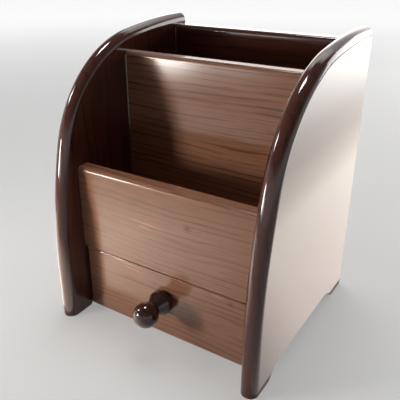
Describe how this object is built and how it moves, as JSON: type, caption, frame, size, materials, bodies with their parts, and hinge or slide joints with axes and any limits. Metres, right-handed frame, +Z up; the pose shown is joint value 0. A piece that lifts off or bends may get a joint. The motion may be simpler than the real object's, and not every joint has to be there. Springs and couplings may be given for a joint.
{
  "type": "pen stand with drawer",
  "caption": "Wooden desk organizer with swept side panels, an open front pocket, a taller rear pocket and a drawer with a turned knob.",
  "frame": {"origin": "on the table under the middle of the whole outline, knob included", "axes": "+Z up, -Y towards the drawer and its knob, +X to the right seen from the front"},
  "size_m": [0.14, 0.1386, 0.1745],
  "materials": {
    "side_wood": "dark stained wood under gloss lacquer",
    "board_wood": "mid brown walnut grain under satin lacquer",
    "knob_wood": "dark stained wood under gloss lacquer",
    "drawer_wood": "plain planed wood, thinly sealed",
    "tenon_wood": "bare beech",
    "ply": "bare thin plywood",
    "steel": "zinc-plated steel"
  },
  "bodies": {
    "carcass": {"side_panel_right": "side_wood", "side_panel_left": "side_wood", "back_panel": "board_wood", "divider": "board_wood", "front_panel": "board_wood", "shelf": "board_wood", "bottom_panel": "board_wood", "back_panel_tenons": "tenon_wood", "divider_tenons": "tenon_wood", "front_panel_tenons": "tenon_wood", "shelf_tenons": "tenon_wood"},
    "drawer": {"drawer_front": "board_wood", "drawer_side_right": "drawer_wood", "drawer_side_left": "drawer_wood", "drawer_back": "drawer_wood", "drawer_bottom": "ply", "drawer_knob": "knob_wood", "knob_screw": "steel", "drawer_front_pins": "steel", "drawer_back_pins": "steel", "drawer_bottom_pins": "steel"}
  },
  "joints": [
    {"name": "drawer_slide", "type": "slide", "parent": "carcass", "child": "drawer", "axis": [0, -1, 0], "range_m": [0, 0.08]}
  ]
}
